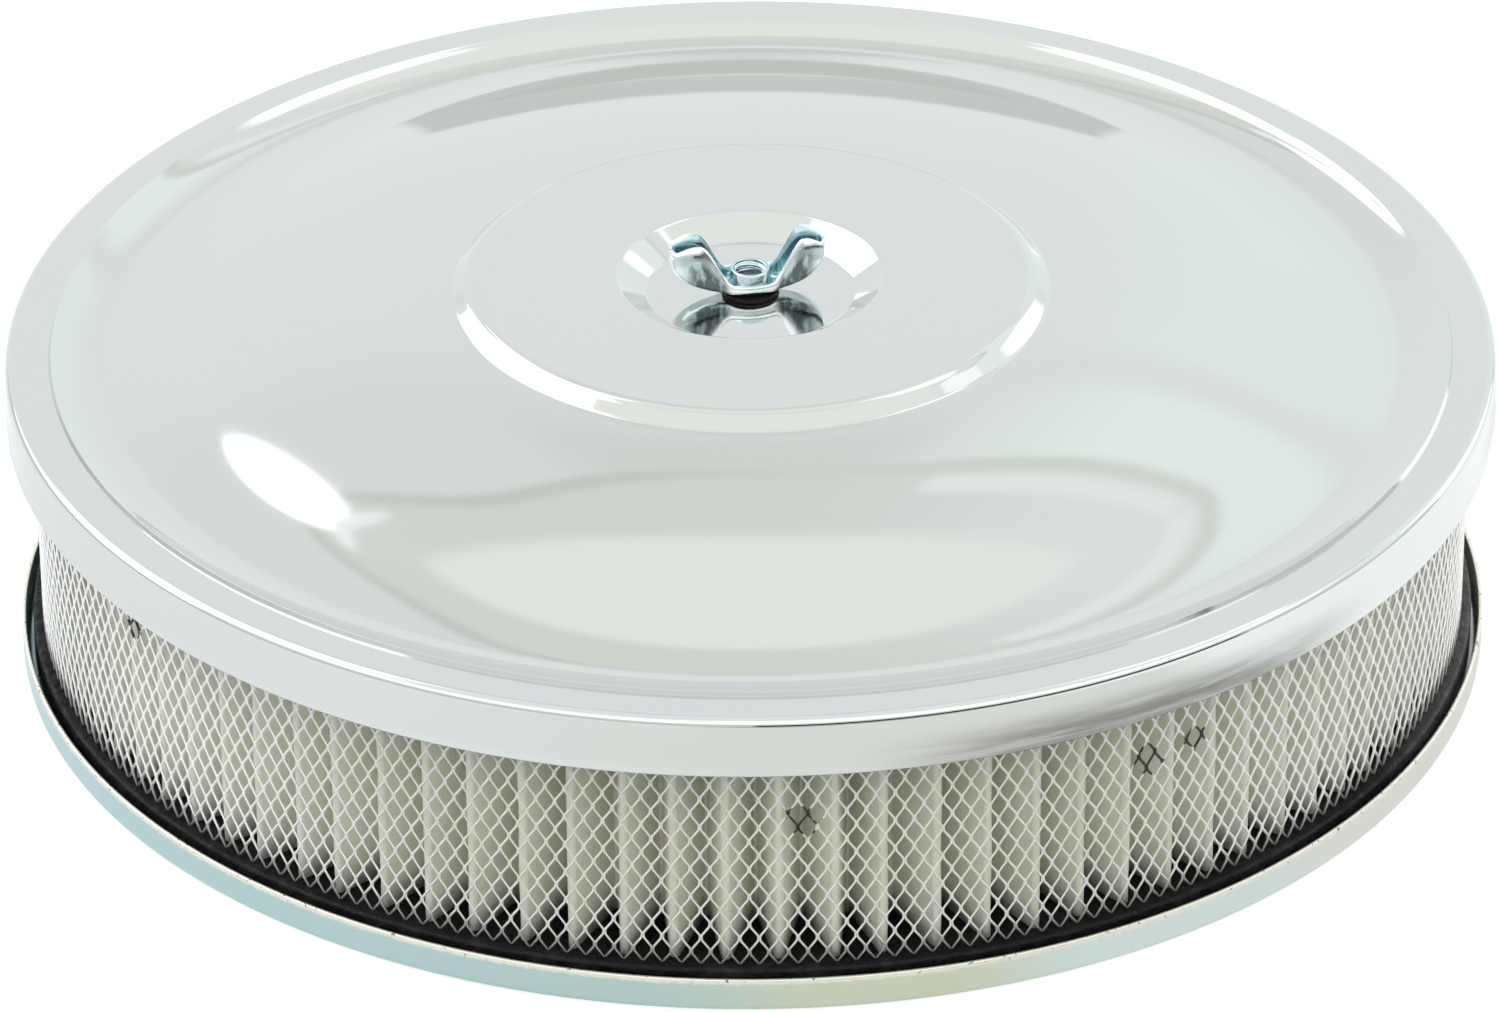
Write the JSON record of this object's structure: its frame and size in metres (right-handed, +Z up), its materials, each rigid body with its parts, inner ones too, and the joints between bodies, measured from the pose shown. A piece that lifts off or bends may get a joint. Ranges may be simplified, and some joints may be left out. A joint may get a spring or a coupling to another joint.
{
  "type": "air filter housing",
  "caption": "Round open-element air filter housing: chromed cover, plated base pan, pleated filter element behind expanded mesh, centre stud and wing nut.",
  "frame": {"origin": "centre of the base pan's underside, on the stud's axis", "axes": "+Z up along the stud, -Y toward the picture's viewer, +X to the viewer's right"},
  "size_m": [0.3606, 0.3606, 0.1052],
  "materials": {
    "cover_chrome": "mirror chrome plate",
    "base_zinc": "clear zinc plate with a faint yellow and blue sheen",
    "gasket": "matt",
    "seal": "matt moulded",
    "screen": "zinc-coated expanded steel",
    "filter_paper": "matt resin-treated paper",
    "clip_steel": "plain steel strip",
    "stud_steel": "dark plated thread",
    "nut_zinc": "bright zinc plate"
  },
  "bodies": {
    "base": {"base_pan": "base_zinc", "neck_gasket": "gasket", "centre_stud": "stud_steel", "stud_lock_nut": "stud_steel"},
    "filter_element": {"element_top_seal": "seal", "element_bottom_seal": "seal", "outer_screen": "screen", "inner_screen": "screen", "pleated_media": "filter_paper", "media_seam_clip": "clip_steel"},
    "cover": {"top_cover": "cover_chrome"},
    "nut_washer": {"wing_nut_seal": "seal"},
    "wing_nut": {"wing_nut": "nut_zinc"}
  },
  "joints": [
    {"name": "element_lift", "type": "slide", "parent": "base", "child": "filter_element", "axis": [0, 0, 1], "range_m": [0, 0.11]},
    {"name": "cover_lift", "type": "slide", "parent": "filter_element", "child": "cover", "axis": [0, 0, 1], "range_m": [0, 0.08]},
    {"name": "nut_lift", "type": "slide", "parent": "cover", "child": "nut_washer", "axis": [0, 0, 1], "range_m": [0, 0.00283]},
    {"name": "wing_nut_spin", "type": "hinge", "parent": "nut_washer", "child": "wing_nut", "pos_m": [0, 0, 0.0913], "axis": [0, 0, 1], "range_deg": [0, 720]}
  ],
  "couplings": [
    {"joint": "nut_lift", "follows": "wing_nut_spin", "m_per_rad": 0.00022459}
  ]
}
